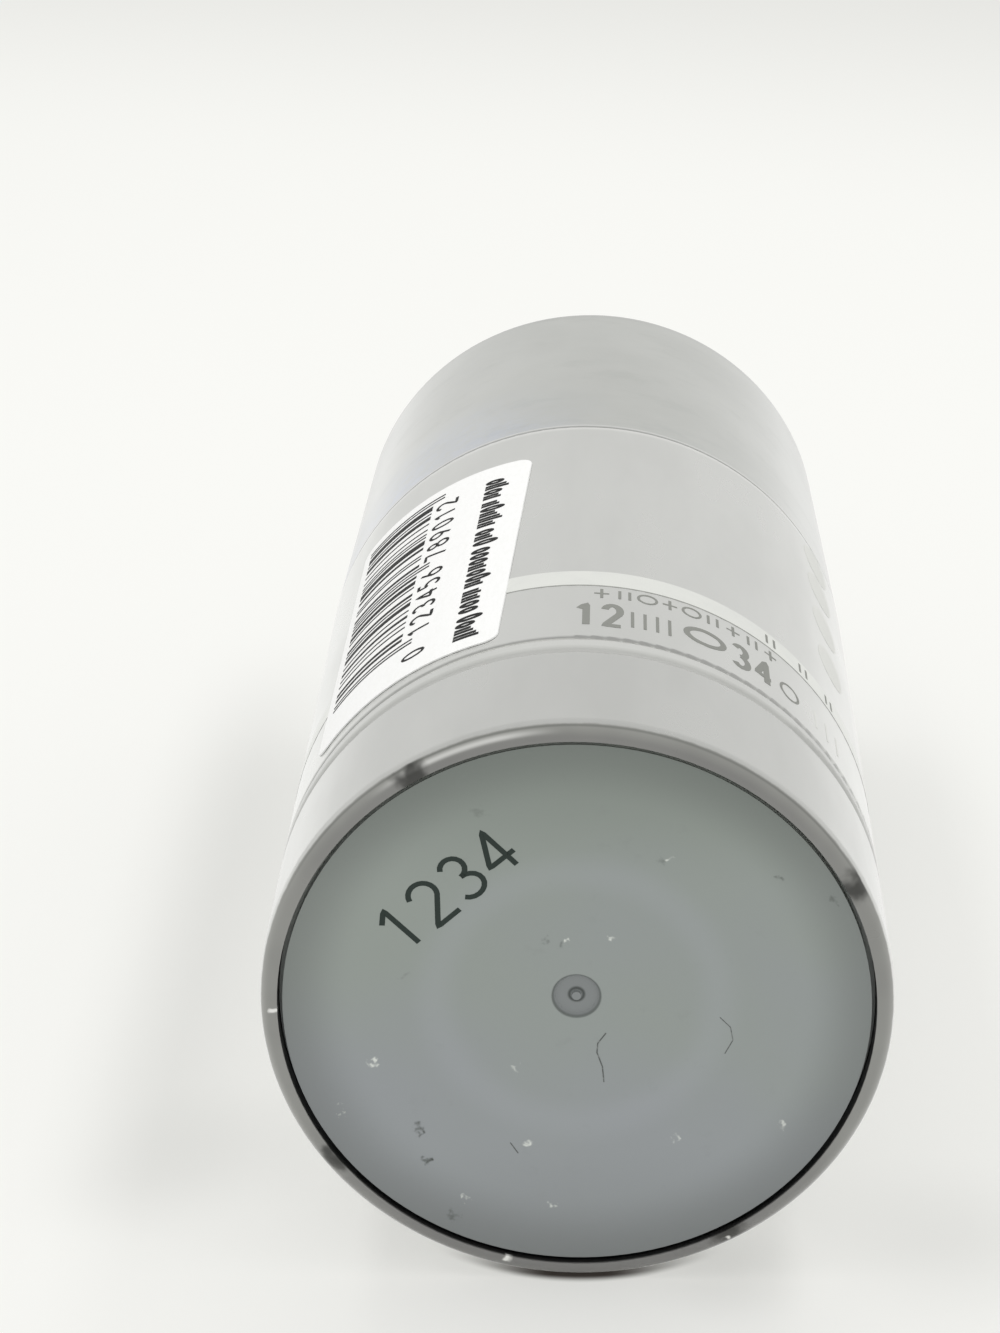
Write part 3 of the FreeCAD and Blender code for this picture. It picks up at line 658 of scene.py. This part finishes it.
FIBRES = (
    (((2.24, 3.2), (1.6, 4.1), (1.54, 4.9), (1.95, 6.1), (2.07, 7.44)), 0.1),
    (((10.9, 1.5), (11.7, 2.3), (11.9, 3.4), (11.3, 4.6)), 0.07),
    (((-5.2, 12.6), (-4.6, 13.5)), 0.08),
)

# Rings of painted light and shade on the base disk, in millimetres: middle and half width, and for lines a
# strength

SINK_RING = (10.8, 2.4)
PIT_LINES = ((1.82, 0.16, 0.6), (0.55, 0.22, 0.9))

# Distances from the axis where the painted shade of the pit in the disk's middle starts and is full, in
# millimetres

PIT_EDGE = (1.9, 1.7)

# Heights between which the dial's paint fades out, in millimetres

PAINT_END = (0.82, 0.62)

# The dial's rim, in millimetres and degrees, with its painted dark line and painted highlight as middle
# and half width

RIM_BORE = 22.6
RIM_DARK_LINE = (23.74, 0.12)
RIM_GLEAM = (23.42, 0.3)
GLEAM_MIDDLE = (23.4, -21)
GLEAM_REACH = 5.5
DARK_REFLECTION_RADIUS = 23.1

# Chips on the dial's rim: azimuth in degrees, distance from the axis and size in millimetres

RIM_CHIPS = ((-89.4, 22.95, 0.3), (-165.9, 22.9, 0.34), (151.9, 23.35, 0.36), (150.6, 23.6, 0.25))

# Painted dark reflections on the rim: azimuth in degrees and size in millimetres

RIM_DARK_REFLECTIONS = ((-30.8, 1.1), (62.8, 1.2), (-124.6, 0.9), (149.1, 1.3))


# Flat strokes of print, laid out in a plane and then bent on to what they are printed on


def divided(path, step, closed=False):
    """The points of a path, with more between them so that none are further apart than step."""
    points = [Vector(p) for p in path]
    ends = points[1:] + points[:1] if closed else points[1:]
    fine = []
    for start, end in zip(points, ends):
        count = max(1, math.ceil((end - start).length / step))
        fine.extend(start.lerp(end, i / count) for i in range(count))
    return fine if closed else fine + [points[-1]]


def arc(centre, radii, first, last, count):
    """Points on an ellipse's arc, from one angle to another in degrees."""
    turns = [math.radians(first + (last - first) * i / count) for i in range(count + 1)]
    return [(centre[0] + radii[0] * math.cos(t), centre[1] + radii[1] * math.sin(t)) for t in turns]


def finish_print(mesh, name, material, body):
    """Turn finished print into a piece that rides on its body."""
    data = bpy.data.meshes.new(name)
    mesh.to_mesh(data)
    mesh.free()
    data.materials.append(material)
    piece = bpy.data.objects.new(name, data)
    bpy.context.scene.collection.objects.link(piece)
    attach(piece, body)


def arcs(*pieces):
    """One path along several arcs, each as its centre, radii and two angles."""
    return [point for piece in pieces for point in arc(*piece, 12)]


# The ten digits as strokes in a box one high, with their left and foot at 0

DIGITS = (
    [arcs(((0.3, 0.5), (0.27, 0.5), 90, 450))],
    [[(0.1, 0.78), (0.34, 1.0), (0.34, 0.0)]],
    [arcs(((0.3, 0.72), (0.28, 0.28), 165, -35)) + [(0.03, 0.0), (0.6, 0.0)]],
    [arcs(((0.3, 0.76), (0.24, 0.24), 150, -90)), arcs(((0.3, 0.26), (0.29, 0.26), 90, -150))],
    [[(0.46, 0.0), (0.46, 1.0), (0.02, 0.28), (0.64, 0.28)]],
    [[(0.52, 1.0), (0.14, 1.0), (0.09, 0.58)] + arcs(((0.28, 0.32), (0.3, 0.32), 130, -145))],
    [arcs(((0.3, 0.3), (0.28, 0.3), 90, 450)), [(0.42, 1.0), (0.1, 0.5)]],
    [[(0.02, 1.0), (0.58, 1.0), (0.2, 0.0)]],
    [arcs(((0.3, 0.76), (0.23, 0.24), 90, 450)), arcs(((0.3, 0.27), (0.29, 0.27), 90, 450))],
    [arcs(((0.3, 0.7), (0.28, 0.3), 90, 450)), [(0.5, 0.5), (0.18, 0.0)]],
)


class Print:
    """A set of flat strokes that become one thin mesh."""

    def __init__(self):
        self.strokes = []

    def stroke(self, path, width, closed=False, step=0.6):
        """A line of one width, with points along the path no further apart than step."""
        points = divided(path, step, closed)
        self.strokes.append((points, [width] * len(points), closed, 1))

    def ring(self, centre, radii, width):
        """An open oval."""
        path = arc(centre, radii, 0, 360, RING_STEPS)[:-1]
        self.stroke(path, width, closed=True, step=RING_SIDE)

    def oval(self, centre, radii, rows=28, columns=14):
        """A filled oval."""
        turns = [math.pi * (i + 0.5) / rows for i in range(rows)]
        points = [Vector((centre[0], centre[1] - radii[1] * math.cos(t))) for t in turns]
        widths = [2 * radii[0] * math.sin(t) for t in turns]
        self.strokes.append((points, widths, False, columns))

    def build(self, name, place, material, body):
        """Make the mesh, with place turning (across, up, out) in millimetres into a point."""
        mesh = bmesh.new()
        for points, widths, closed, columns in self.strokes:
            self.add_stroke(mesh, points, widths, closed, columns, place)
        bmesh.ops.recalc_face_normals(mesh, faces=mesh.faces)
        finish_print(mesh, name, material, body)

    def add_stroke(self, mesh, points, widths, closed, columns, place):
        """Add one stroke as a thin closed slab."""
        count = len(points)
        rows = []
        for index, (point, width) in enumerate(zip(points, widths)):
            after = points[(index + 1) % count] if closed or index < count - 1 else point
            before = points[index - 1] if closed or index > 0 else point
            along = (after - before).normalized()
            side = Vector((along.y, -along.x))
            row = []
            for column in range(columns + 1):
                spot = point + side * width * (column / columns - 0.5)
                low = mesh.verts.new(place(spot.x, spot.y, -INK_ROOT))
                high = mesh.verts.new(place(spot.x, spot.y, INK_RISE))
                row.append((low, high))
            rows.append(row)
        pairs = list(zip(rows, rows[1:]))
        if closed:
            pairs.append((rows[-1], rows[0]))
        for first, second in pairs:
            for column in range(columns):
                a, b = first[column], first[column + 1]
                c, d = second[column + 1], second[column]
                mesh.faces.new((a[1], b[1], c[1], d[1]))
                mesh.faces.new((a[0], d[0], c[0], b[0]))
            for column in (0, columns):
                a, b = first[column], second[column]
                mesh.faces.new((a[0], a[1], b[1], b[0]))
        if not closed:
            for row in (rows[0], rows[-1]):
                for column in range(columns):
                    a, b = row[column], row[column + 1]
                    mesh.faces.new((a[0], b[0], b[1], a[1]))


def wrapped(radius):
    """Bend a plane round the stick: across from the front, and up from the base."""
    def place(across, up, out):
        turn = across / radius
        reach = radius + out
        return Vector((reach * math.sin(turn), -reach * math.cos(turn), up)) * MM
    return place


# Print on the body sleeve


def print_band(name, low, high, material):
    """A thin ring of print all round the sleeve, from one height to another."""
    radius = sleeve_radius / MM
    place = wrapped(radius)
    mesh = bmesh.new()
    rings = []
    for index in range(BAND_STEPS):
        across = 2 * math.pi * radius * index / BAND_STEPS
        corners = ((low, -INK_ROOT), (low, INK_RISE), (high, INK_RISE), (high, -INK_ROOT))
        rings.append([mesh.verts.new(place(across, up, out)) for up, out in corners])
    for index, ring in enumerate(rings):
        after = rings[(index + 1) % BAND_STEPS]
        for corner in range(4):
            following = (corner + 1) % 4
            mesh.faces.new((ring[corner], ring[following], after[following], after[corner]))
    bmesh.ops.recalc_face_normals(mesh, faces=mesh.faces)
    finish_print(mesh, name, material, "barrel")


def print_stripe():
    """The pale band round the sleeve, with a thin dark line of painted shadow under it."""
    band = Paint("stripe_ink", Metallic=0.25, Roughness=0.34)
    patches = band.rise(band.noise(500, 3), 0.4, 0.7)
    band.set("Base Color", band.mix(patches, STRIPE, STRIPE_PATCH))
    print_band("stripe", STRIPE_LOW, STRIPE_HIGH, band.material)
    # Painted shadow: the thin dark line under the stripe
    dark = ink("stripe_painted_shadow", STRIPE_SHADOW)
    print_band("stripe_line", STRIPE_LOW - STRIPE_LINE, STRIPE_LOW, dark.material)


def round_sleeve(azimuth):
    """Millimetres round the sleeve from the front, from degrees."""
    return sleeve_radius / MM * math.pi / 180 * azimuth


def print_sleeve_marks():
    """Dark marks under the stripe and on it, and pale ones at the side."""
    on_sleeve = wrapped(sleeve_radius / MM)
    on_stripe = wrapped(sleeve_radius / MM + INK_RISE)
    dark = ink("sleeve_ink", SLEEVE_INK).material
    marks = Print()
    print_small_row(marks)
    print_large_row(marks)
    marks.build("sleeve_marks", on_sleeve, dark, "barrel")
    pale = ink("sleeve_ink_pale", SLEEVE_INK_PALE).material
    ovals = Print()
    print_side(ovals)
    ovals.build("sleeve_ovals", on_sleeve, pale, "barrel")
    dots = Print()
    for azimuth in STRIPE_MARK_AZIMUTHS:
        print_small_mark(dots, "bar", round_sleeve(azimuth), (STRIPE_LOW + STRIPE_HIGH) / 2)
    dots.build("stripe_marks", on_stripe, dark, "barrel")


def print_small_row(sheet):
    """The row of small marks right under the stripe."""
    first, last = SMALL_ROW_AZIMUTHS
    for index, kind in enumerate(SMALL_ROW):
        azimuth = first + (last - first) * index / (len(SMALL_ROW) - 1)
        print_small_mark(sheet, kind, round_sleeve(azimuth), SMALL_ROW_HEIGHT)


def print_small_mark(sheet, kind, across, height):
    """One of three plain marks, a ring, a cross and a pair of bars."""
    if kind == "ring":
        sheet.ring((across, height), SMALL_RING, 0.23)
    elif kind == "cross":
        wide, high = SMALL_CROSS
        sheet.stroke([(across - wide, height), (across + wide, height)], 0.22)
        sheet.stroke([(across, height - high), (across, height + high)], 0.25)
    else:
        wide, high = SMALL_BARS
        for place in (across - wide, across + wide):
            sheet.stroke([(place, height - high), (place, height + high)], 0.24)


def print_large_row(sheet):
    """The row of bold digits, bars and rings, lower down."""
    foot = LARGE_ROW_FOOT + LARGE_MARK_LIFT
    print_bold_digits(sheet, (1, 2), FIRST_DIGITS_START)
    print_bars(sheet, LARGE_BARS, foot, LARGE_BAR_HEIGHT, 0.26)
    print_large_ring(sheet, foot, *WIDE_RING)
    print_bold_digits(sheet, (3, 4), LAST_DIGITS_START)
    print_large_ring(sheet, foot, *NARROW_RING)


def print_side(sheet):
    """The filled ovals at the sleeve's side, and the three bars at the large row's end."""
    for height in OVAL_HEIGHTS:
        sheet.oval((round_sleeve(OVAL_AZIMUTH), height), OVAL_RADII)
    print_bars(sheet, PALE_BARS, LARGE_ROW_FOOT + LARGE_MARK_LIFT, PALE_BAR_HEIGHT, 0.22)


def print_bars(sheet, places, foot, height, width):
    """Upright bars, side by side."""
    for place in places:
        sheet.stroke([(place, foot), (place, foot + height)], width)


def print_large_ring(sheet, foot, place, radii, width):
    """One ring of the large row, with its place across and above the row's foot."""
    across, up = place
    sheet.ring((across, foot + up), radii, width)


def print_bold_digits(sheet, numbers, across):
    """Bold plain digits, standing side by side."""
    for number in numbers:
        for path in DIGITS[number]:
            points = [
                (across + x * BOLD_DIGIT_WIDTH, LARGE_ROW_FOOT + y * BOLD_DIGIT_HEIGHT) for x, y in path
            ]
            sheet.stroke(points, BOLD_DIGIT_STROKE, step=0.3)
        across += BOLD_DIGIT_STEP


# Print on the price label


def label_place():
    """Turn the label's own (across, along, out) into points, leaning as the label does."""
    outside = on_circle(40, LABEL_AZIMUTH, LABEL_MIDDLE)
    inward = Vector((-outside.x, -outside.y, 0)).normalized()
    hit = surface_of("price_label").ray_cast(outside, inward)[0]
    face_radius = math.hypot(hit.x, hit.y) / MM
    bend = wrapped(face_radius + INK_RISE)
    lean = math.radians(LABEL_TILT)
    start = math.radians(LABEL_AZIMUTH) * face_radius

    def place(across, along, out):
        turned = across * math.cos(lean) + along * math.sin(lean)
        raised = along * math.cos(lean) - across * math.sin(lean)
        return bend(start + turned, LABEL_MIDDLE + raised, out)
    return place


def bar_pattern(dice):
    """Widths in modules of the bars and gaps of a made-up bar symbol, guards marked."""
    pattern = [(1, True)] * 3
    for guards in (5, 3):
        for _ in range(6):
            cuts = sorted(dice.sample(range(1, 7), 3))
            edges = [0] + cuts + [7]
            pattern += [(b - a, False) for a, b in zip(edges, edges[1:])]
        pattern += [(1, True)] * guards
    return pattern


def print_label():
    """Bars, plain digits in order beside them, and a row of bold shapes in groups."""
    dice = random.Random(LABEL_DICE)
    sheet = Print()
    print_bar_symbol(sheet, dice)
    print_label_digits(sheet)
    print_words(sheet, dice)
    black = ink("label_ink", LABEL_INK, coverage=0.7)
    sheet.build("label_print", label_place(), black.material, "barrel")


def print_bar_symbol(sheet, dice):
    """The bars across the label, with the guards a little longer."""
    along = BARS_START
    dark = True
    for modules, guard in bar_pattern(dice):
        width = modules * BAR_MODULE
        if dark:
            right = GUARDS_RIGHT if guard else BARS_RIGHT
            middle = along + width / 2
            sheet.stroke([(BARS_LEFT, middle), (right, middle)], width * BAR_INK_SHARE)
        along += width
        dark = not dark


def print_label_digits(sheet):
    """The digits 0 to 9 and on, one group after another."""
    number = 0
    for count, start in LABEL_DIGIT_GROUPS:
        for index in range(count):
            print_label_digit(sheet, number % 10, BARS_START + start + index * LABEL_DIGIT_STEP)
            number += 1


def print_label_digit(sheet, number, along):
    """A plain digit, standing across the label with its foot away from the bars."""
    for path in DIGITS[number]:
        points = [(LABEL_DIGIT_FOOT - y * LABEL_DIGIT_SIZE, along + x * LABEL_DIGIT_SIZE) for x, y in path]
        sheet.stroke(points, LABEL_DIGIT_STROKE, step=0.3)


def print_words(sheet, dice):
    """A row of bold shapes, grouped as letters are in words."""
    along = WORDS_START
    for letters in WORDS:
        for _ in range(letters):
            print_bold_shape(sheet, dice, along)
            along += LETTER_STEP
        along += WORD_GAP


def print_bold_shape(sheet, dice, along):
    """A bold ring or pair of bars, as large as a letter."""
    low = LETTER_LOW
    high = LETTER_TALL if dice.random() < TALL_SHARE else LETTER_HIGH
    if dice.random() < RING_SHARE:
        sheet.ring(((low + high) / 2, along + 0.42), ((high - low) / 2 - 0.15, 0.3), 0.4)
    else:
        sheet.stroke([(low, along + 0.2), (high, along + 0.2)], LETTER_STROKE)
        sheet.stroke([(low, along + 0.74), (high - 0.25, along + 0.74)], LETTER_STROKE)


# Lot number on the base disk, as plain numbers


def print_lot_number():
    """Four plain digits, leaning up to the right across the dish."""
    turn = math.radians(LOT_TURN)
    right = Vector((math.cos(turn), -math.sin(turn)))
    up = Vector((-math.sin(turn), -math.cos(turn)))

    def place(across, high, out):
        spot = Vector(LOT_START) + right * across + up * high
        height = dish_height(spot.x, spot.y)
        return Vector((spot.x * MM, spot.y * MM, height - out * MM))

    half_width, half_height = DIGIT_MIDDLE
    digits = Print()
    for index, strokes in enumerate(DIGITS[1:5]):
        left = index * LOT_STEP - half_width * LOT_HEIGHT
        for path in strokes:
            points = [(left + x * LOT_HEIGHT, (y - half_height) * LOT_HEIGHT) for x, y in path]
            digits.stroke(points, LOT_STROKE, step=0.25)
    green = ink("lot_ink", LOT_INK, coverage=0.66)
    digits.build("lot_number", place, green.material, "dial")


def lay_fibres():
    """Loose fibres on the disk, flat against it."""
    def place(across, down, out):
        return Vector((across * MM, down * MM, dish_height(across, down) - out * MM))

    fluff = Print()
    for path, width in FIBRES:
        fluff.stroke(path, width, step=0.2)
    hair = ink("fibre", HAIR, coverage=0.5)
    fluff.build("fibres", place, hair.material, "dial")


def dress_nodes():
    """Give every piece of the frame its own finish."""
    finishes = {
        "dial_sleeve": dial_paint(),
        "hand_wheel": wheel_plastic(),
        "spindle": moulded_plastic("screw_plastic", SCREW_NATURAL, 0.4),
        "barrel": barrel_plastic(),
        "body_sleeve": sleeve_paint(),
        "price_label": label_paper(),
        "lift_platform": moulded_plastic("platform_plastic", SCREW_NATURAL, 0.42),
        "deodorant_stick": stick_gel(),
        "cap_shell": cap_satin(),
        "cap_liner": moulded_plastic("liner_plastic", LINER_WHITE, 0.35),
    }
    for name, paint in finishes.items():
        node = nodes[name]
        node.data.materials.clear()
        node.data.materials.append(paint.material)


# Floor, light and camera


def floor_material():
    """Matt, a little paler to the camera, and clear from behind."""
    paint = Paint("floor")
    seen = paint.node("ShaderNodeLightPath").outputs["Is Camera Ray"]
    colour = floor_colour(paint, seen)
    white = paint.node("ShaderNodeBsdfDiffuse", (colour,)).outputs[0]
    lifted = paint.node("ShaderNodeEmission", (colour,)).outputs[0]
    lift = paint.times(seen, FLOOR_LIFT)
    shown = paint.node("ShaderNodeMixShader", (lift, white, lifted)).outputs[0]
    clear = paint.node("ShaderNodeBsdfTransparent").outputs[0]
    behind = paint.node("ShaderNodeNewGeometry").outputs["Backfacing"]
    both = paint.node("ShaderNodeMixShader", (behind, shown, clear)).outputs[0]
    output = next(n for n in paint.tree.nodes if n.type == "OUTPUT_MATERIAL")
    paint.tree.links.new(both, output.inputs["Surface"])
    paint.tree.nodes.remove(paint.surface)
    paint.material.cycles.emission_sampling = "NONE"
    return paint.material


def floor_colour(paint, seen):
    """White, with painted shade far off and painted soft shadows, and a painted contact shadow at the
    rim's foot for the camera.
    """
    x, _, z = paint.axes()
    away = paint.calculate("MULTIPLY_ADD", x, FLOOR_FAR_SLANT, z)
    colour = paint.mix(paint.rise(away, *FLOOR_FAR, 0, FLOOR_FAR_SHARE), FLOOR_WHITE, FLOOR_SHADE)
    for (across, along), size, share in FLOOR_DIM:
        dim = paint.spot((across, sleeve_radius, along), size, 1)
        colour = paint.mix(paint.times(dim, share), colour, FLOOR_SHADE)
    near, far = (paint.rise(z, *ends) for ends in FLOOR_BAND_ENDS)
    band = paint.times(near, far, paint.ring(x, *FLOOR_BAND), FLOOR_BAND_SHARE)
    colour = paint.mix(band, colour, FLOOR_SHADE)
    # Painted contact shadow, seen by camera rays only
    followed = paint.calculate("MULTIPLY_ADD", paint.times(x, x), -CONTACT_CURVE, z)
    under = paint.times(paint.rise(followed, *CONTACT_DEPTH), paint.rise(z, *CONTACT_END))
    contact = paint.times(under, paint.rise(paint.calculate("ABSOLUTE", x), *CONTACT_REACH))
    return paint.mix(paint.times(contact, seen), colour, CONTACT_SHADOW)


def lay_floor():
    """The white surface that the stick lies on: a strip by its rim, and the rest.

    The rest lights nothing, so that the stick's far side stays as bright as its front.
    """
    half = FLOOR_SIZE / 2
    first, last = FLOOR_STRIP
    material = floor_material()
    lay_strip("floor_front", -half, first, material, lights=False)
    lay_strip("floor_by_rim", first, last, material, lights=True)
    lay_strip("floor", last, half, material, lights=False)


def lay_strip(name, low, high, material, lights):
    """One strip of the floor, from one height along the stick to another."""
    half = FLOOR_SIZE / 2
    side = sleeve_radius
    data = bpy.data.meshes.new(name)
    corners = [(-half, side, low), (half, side, low), (half, side, high), (-half, side, high)]
    data.from_pydata(corners, [], [(0, 1, 2, 3)])
    data.materials.append(material)
    strip = bpy.data.objects.new(name, data)
    bpy.context.scene.collection.objects.link(strip)
    for ray in ("diffuse", "glossy", "transmission", "shadow", "volume_scatter"):
        setattr(strip, f"visible_{ray}", lights)


def hang_lamps():
    """Two long soft lamps over the side that faces up, one leaning in from each hand."""
    upright = Vector((0, 0, 1))
    for name, lean in (("lamp_left", -LAMP_LEAN), ("lamp_right", LAMP_LEAN)):
        data = bpy.data.lights.new(name, "AREA")
        data.shape = "RECTANGLE"
        data.size, data.size_y = LAMP_SIZE
        data.energy = LAMP_POWER
        lamp = bpy.data.objects.new(name, data)
        turn = math.radians(lean)
        away = Vector((math.sin(turn), -math.cos(turn), 0))
        facing = Matrix((away.cross(upright), upright, away)).transposed()
        place = Matrix.Translation(away * LAMP_DISTANCE + upright * LAMP_MIDDLE)
        lamp.matrix_world = place @ facing.to_4x4()
        lamp.visible_glossy = False
        lamp.visible_camera = False
        bpy.context.scene.collection.objects.link(lamp)


def set_world():
    """Even white light, a pale background, and for gloss a tent that is open at its front."""
    world = bpy.data.worlds.new("tent")
    bpy.context.scene.world = world
    world.use_nodes = True
    world.cycles.sampling_method = "NONE"
    sky = Nodes(world.node_tree)
    ray = sky.node("ShaderNodeLightPath").outputs
    generated = sky.node("ShaderNodeTexCoord").outputs["Generated"]
    across, down, along = sky.node("ShaderNodeSeparateXYZ", (generated,)).outputs
    beyond = sky.rise(along, -0.7, 0.4, 0.5, 1)
    leaning = sky.calculate("MULTIPLY_ADD", across, -0.04, down)
    above = sky.rise(leaning, -0.75, -0.1, 0.6, 0.74)
    beside = sky.rise(leaning, -0.05, 0.35, 0, 0.3)
    tent = sky.times(sky.calculate("ADD", above, beside), beyond)
    lit = sky.node("ShaderNodeMapRange", (ray["Is Glossy Ray"], 0, 1, SKY_LEVEL, tent)).outputs[0]
    seen = sky.node("ShaderNodeMapRange", (ray["Is Camera Ray"], 0, 1, lit, BACKGROUND_LEVEL)).outputs[0]
    back = sky.node("ShaderNodeBackground", (SKY_WHITE, seen)).outputs[0]
    output = sky.node("ShaderNodeOutputWorld")
    sky.tree.links.new(back, output.inputs["Surface"])


def place_camera():
    """The photograph's viewing angle."""
    data = bpy.data.cameras.new("camera")
    data.lens = CAMERA_LENS
    data.sensor_width = SENSOR
    data.clip_start = CAMERA_NEAR
    camera = bpy.data.objects.new("camera", data)
    look = CAMERA_LOOK.normalized()
    right = CAMERA_DOWN.cross(look).normalized()
    up = look.cross(right) * -1
    turn = Matrix((right, up, -look)).transposed()
    camera.matrix_world = Matrix.Translation(CAMERA_PLACE) @ turn.to_4x4()
    bpy.context.scene.collection.objects.link(camera)
    bpy.context.scene.camera = camera


dress_nodes()
print_stripe()
print_sleeve_marks()
print_label()
print_lot_number()
lay_fibres()
lay_floor()
hang_lamps()
set_world()
place_camera()
bpy.context.scene.view_settings.view_transform = "Standard"
